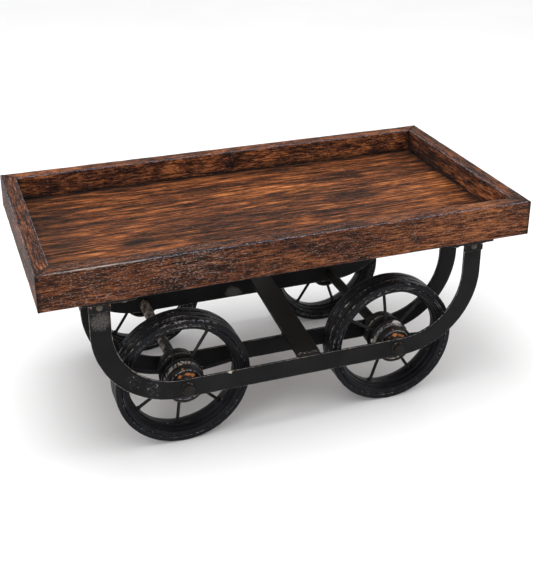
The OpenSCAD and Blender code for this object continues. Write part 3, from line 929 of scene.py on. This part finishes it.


# Hubs: a turned barrel with two flanges for the spokes, and a loose collar near each end.
# The castings are rough, with run weld round the flanges and coppery rust where paint has gone. Silver patches on
# them are painted glints.
hub_lo, hub_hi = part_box("hub_near_left")
hub_half = (hub_hi.y - hub_lo.y) / 2
hub_flange = (hub_hi.z - hub_lo.z) / 2
hub_bore = axle_radius + 0.00005
barrel = 0.020
flange_inner, flange_outer = 0.004, 0.0085
collar_inner = 0.0145
hub_outline = (
    (hub_bore, hub_half), (hub_bore + 0.005, hub_half), (hub_bore + 0.006, hub_half - 0.0008),
    (hub_bore + 0.006, hub_half - 0.002), (barrel - 0.002, hub_half - 0.003), (barrel, hub_half - 0.004),
    (barrel, flange_outer), (hub_flange - 0.001, flange_outer), (hub_flange, flange_outer - 0.001),
    (hub_flange, flange_inner + 0.001), (hub_flange - 0.001, flange_inner), (barrel, flange_inner),
)
collar_lo, collar_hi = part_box("hub_collars_near_left")
collar_outer = (collar_hi.z - collar_lo.z) / 2
collar_bore = barrel + 0.0001
collar_top = hub_half - 0.001
collar_outline = (
    (collar_bore, collar_inner), (collar_outer - 0.001, collar_inner), (collar_outer, collar_inner + 0.001),
    (collar_outer, collar_top - 0.001), (collar_outer - 0.001, collar_top),
    (collar_outer - 0.003, collar_top), (collar_bore, collar_top - 0.002),
)
hub_paint = painted_iron(
    "hub_paint", 0.85, 0.7, (0.0065, 0.0062, 0.0062), (0.021, 0.0195, 0.019), (bare_cream, bare_slate_and_glint), 0.36, 0.9,
    scale=300.0, shine=0.12)
rust_ring = 0.0148


def patch_layers(bm, copper, silver, seed):
    """Marks patches of copper-red rust and of silver that is a painted glint, and a broken ring of rust on each end
    face.

    A patch is a turn in degrees, a radius, a place along the axle, a reach and a strength.
    """
    for label, patches in (("copper", copper), ("silver", silver)):
        layer = bm.verts.layers.float.new(label)
        for vert in bm.verts:
            turn = math.atan2(vert.co.z, vert.co.x)
            radius = math.hypot(vert.co.x, vert.co.z)
            for at_turn, at_radius, at_along, reach, strength in patches:
                swing = math.radians((math.degrees(turn) - at_turn + 180) % 360 - 180) * radius
                gap = math.sqrt(swing ** 2 + (radius - at_radius) ** 2 * 4 + (vert.co.y - at_along) ** 2)
                vert[layer] = max(vert[layer], strength * fade(gap, reach))
            if label == "copper":
                gap = math.hypot(radius - rust_ring, abs(vert.co.y) - hub_half + 0.002)
                broken = 0.62 + 0.75 * noise.noise(Vector((3 * math.cos(turn), 3 * math.sin(turn), seed * 2.3)))
                vert[layer] = max(vert[layer], broken * fade(gap, 0.0042))


for seed, (wheel, side, end) in enumerate(wheels):
    outer_end = side * hub_half
    copper = [
        (100, 0.0235, outer_end - side * 0.003, 0.005, 0.8), (262, 0.0245, side * 0.019, 0.009, 0.75),
        (132, 0.0225, side * 0.012, 0.007, 0.75), (58, 0.0225, side * 0.012, 0.006, 0.7),
    ]
    # Silver patches: painted glints on the barrel and flanges.
    silver = [
        (80, 0.0225, side * 0.010, 0.005, 0.7), (104, 0.0235, side * 0.010, 0.004, 0.6),
        (152, 0.0235, side * 0.018, 0.004, 0.6),
    ]
    if wheel == "near_right":
        silver = [
            (68, 0.024, side * 0.010, 0.013, 1.0), (100, 0.021, side * 0.012, 0.006, 0.6),
            (175, 0.025, side * 0.008, 0.009, 0.7),
        ]
    for kind, outline, rounding, mirrored in (
        ("hub_", hub_outline, 0.0003, True), ("hub_collars_", collar_outline, 0.0004, False),
    ):
        bm = turned_ring(outline, rounding, 96, 0.0014, mirrored)
        if not mirrored:
            twin = bmesh.ops.duplicate(bm, geom=list(bm.verts) + list(bm.edges) + list(bm.faces))["geom"]
            bmesh.ops.scale(bm, verts=verts_of(twin), vec=(1, -1, 1))
            bmesh.ops.recalc_face_normals(bm, faces=bm.faces)
        mark_wear(bm, 12, 40)
        patch_layers(bm, copper, silver, seed)
        worn = bm.verts.layers.float["worn"]
        bm.normal_update()
        for vert in bm.verts:
            place = vert.co * 260 + Vector((seed * 3.1, 0, 0))
            rough = noise.noise(place) + 0.6 * noise.noise(place * 2.3)
            if math.hypot(vert.co.x, vert.co.z) > hub_bore + 0.0003:
                vert.co -= vert.normal * 0.00028 * (1.6 + rough)
            vert[worn] = vert[worn] * (0.75 + 0.3 * rough) + 0.14 * max(0, rough)
        bmesh.ops.translate(bm, verts=bm.verts, vec=wheel_middle(side, end))
        node = kind + wheel
        show(bm, node + "_casting", "wheel_" + wheel, hub_paint, [node], smooth=60)
    bm = bmesh.new()
    for along, radius, thick in (
        (flange_outer, barrel + 0.0016, 0.0024), (flange_outer + 0.003, barrel + 0.0012, 0.0022),
        (-flange_outer, barrel + 0.0016, 0.0026), (-collar_inner, barrel + 0.001, 0.0020),
        (hub_half - 0.0042, barrel + 0.0002, 0.0009),
    ):
        beside = along + (0.0008 if along > 0 else -0.0008)
        bead(bm, ring_points(0, side * beside, 0, radius, 0, 360, 0.0016), thick, 90 + seed * 3, closed=True)
    close_beads(bm)
    patch_layers(bm, copper, silver, seed)
    bmesh.ops.translate(bm, verts=bm.verts, vec=wheel_middle(side, end))
    show(bm, "hub_" + wheel + "_welds", "wheel_" + wheel, hub_paint)
